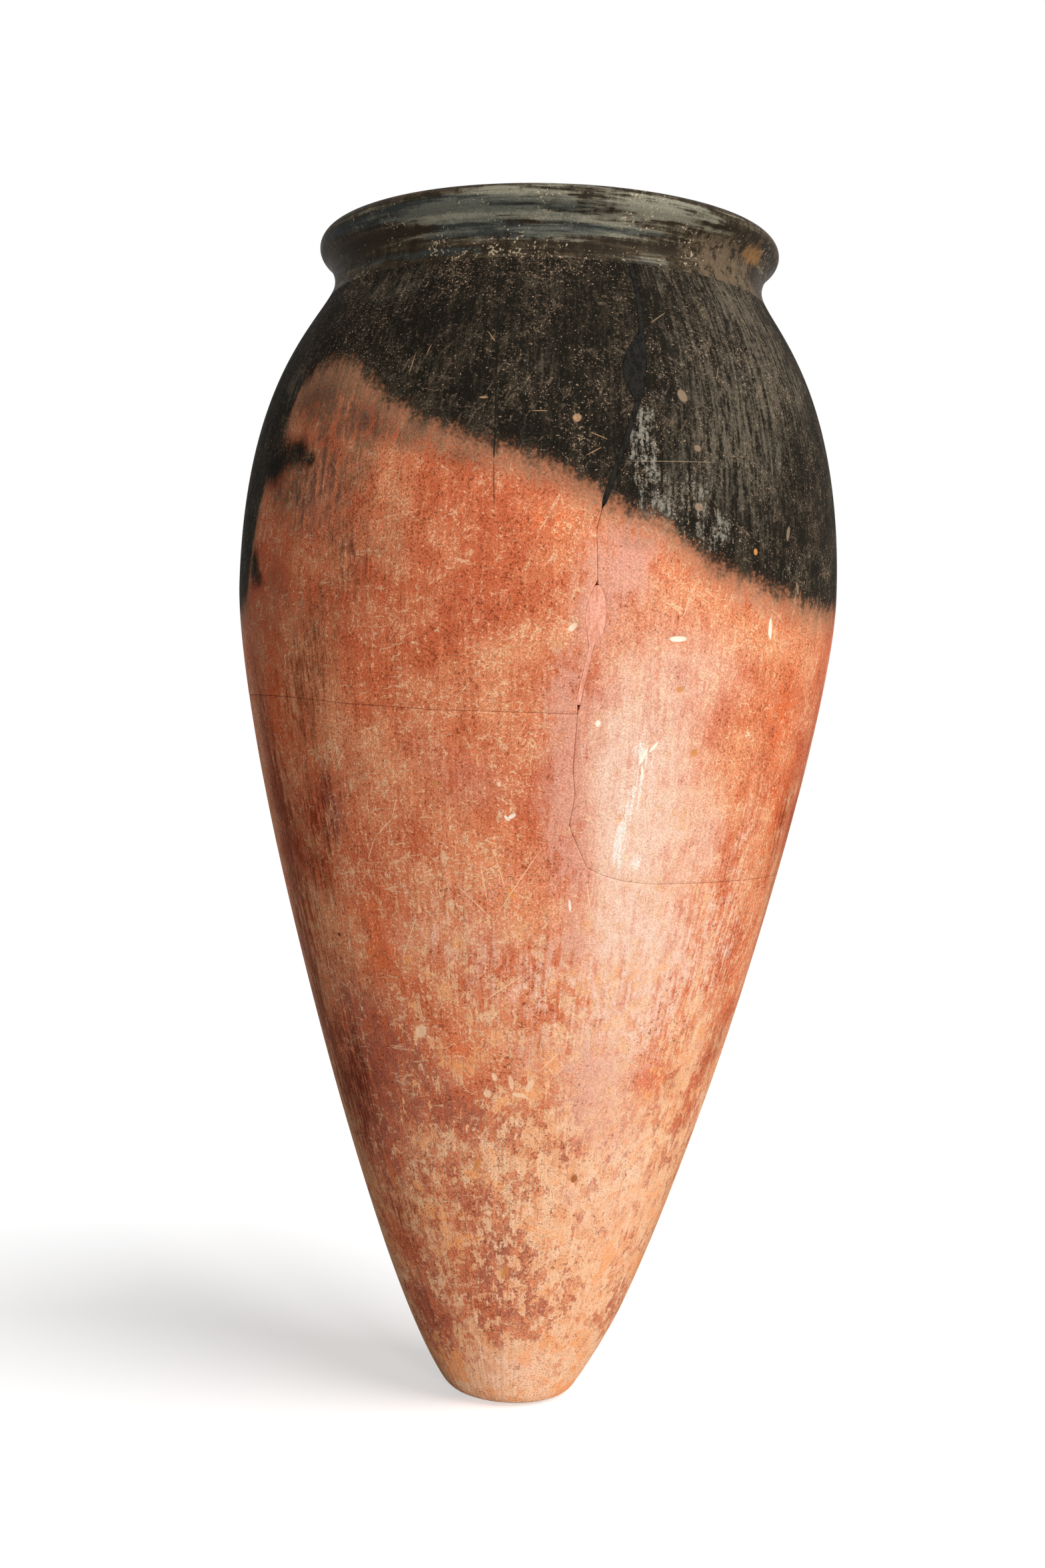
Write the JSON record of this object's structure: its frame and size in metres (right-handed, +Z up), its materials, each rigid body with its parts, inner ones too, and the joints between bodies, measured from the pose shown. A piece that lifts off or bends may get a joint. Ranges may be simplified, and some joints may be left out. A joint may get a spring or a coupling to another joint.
{
  "type": "black-topped pottery jar",
  "caption": "Tall hand-built pottery jar with a small flat foot, tapering body, wide shoulder, short neck and rolled lip; red slip under a black top, mended along an old break.",
  "frame": {"origin": "centre of the flat face under the foot", "axes": "+Z up along the jar's axis, front of the jar towards -Y, +X to the right seen from the front"},
  "size_m": [0.207, 0.207, 0.4],
  "materials": {
    "buff_clay": "worn matt clay",
    "red_clay": "burnished red slip",
    "black_clay_left": "burnished, smoked black",
    "black_clay_right": "burnished, smoked black",
    "neck_clay": "burnished, smoked black",
    "rim_clay": "burnished, smoked black",
    "black_fill": "toned filler",
    "pink_fill": "toned filler"
  },
  "bodies": {
    "root": {"foot_cup": "buff_clay", "lower_wall": "red_clay", "upper_wall_left": "black_clay_left", "upper_wall_right": "black_clay_right", "neck_collar": "neck_clay", "rim_roll": "rim_clay", "crack_fill_black": "black_fill", "crack_fill_pink": "pink_fill"}
  },
  "joints": []
}
